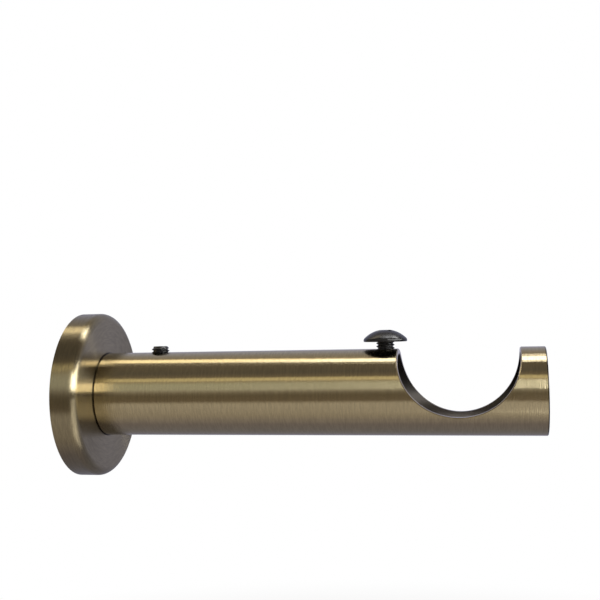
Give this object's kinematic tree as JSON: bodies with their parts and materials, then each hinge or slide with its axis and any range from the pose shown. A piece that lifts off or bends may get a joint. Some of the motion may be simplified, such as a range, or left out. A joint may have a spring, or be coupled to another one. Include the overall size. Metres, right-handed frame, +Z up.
{
  "type": "curtain pole bracket",
  "caption": "Wall bracket that carries a curtain pole in a half-round cup cut across a tubular arm, with a round wall rose, a locking grub screw and a retaining screw beside the cup.",
  "frame": {"origin": "centre of the wall face, on the barrel's axis", "axes": "+X straight out from the wall along the barrel, +Z up, the pole lies along Y"},
  "size_m": [0.105, 0.0376, 0.0376],
  "materials": {
    "antique_brass": "brushed antique brass plating, brushed round the barrel and the rose",
    "black_steel": "blackened steel screw, semi-gloss",
    "plated_steel": "zinc-plated steel, hidden behind the rose"
  },
  "bodies": {
    "bracket": {"wall_plate": "plated_steel", "rose": "antique_brass", "barrel": "antique_brass", "end_cap": "antique_brass"},
    "locking_grub": {"grub_screw": "black_steel"},
    "pole_retainer": {"retaining_screw": "black_steel"}
  },
  "joints": [
    {"name": "grub_screw_travel", "type": "slide", "parent": "bracket", "child": "locking_grub", "axis": [0, 0, 1], "range_m": [0, 0.0016]},
    {"name": "retaining_screw_travel", "type": "slide", "parent": "bracket", "child": "pole_retainer", "axis": [0, 0, 1], "range_m": [-0.0015, 0.009]}
  ]
}
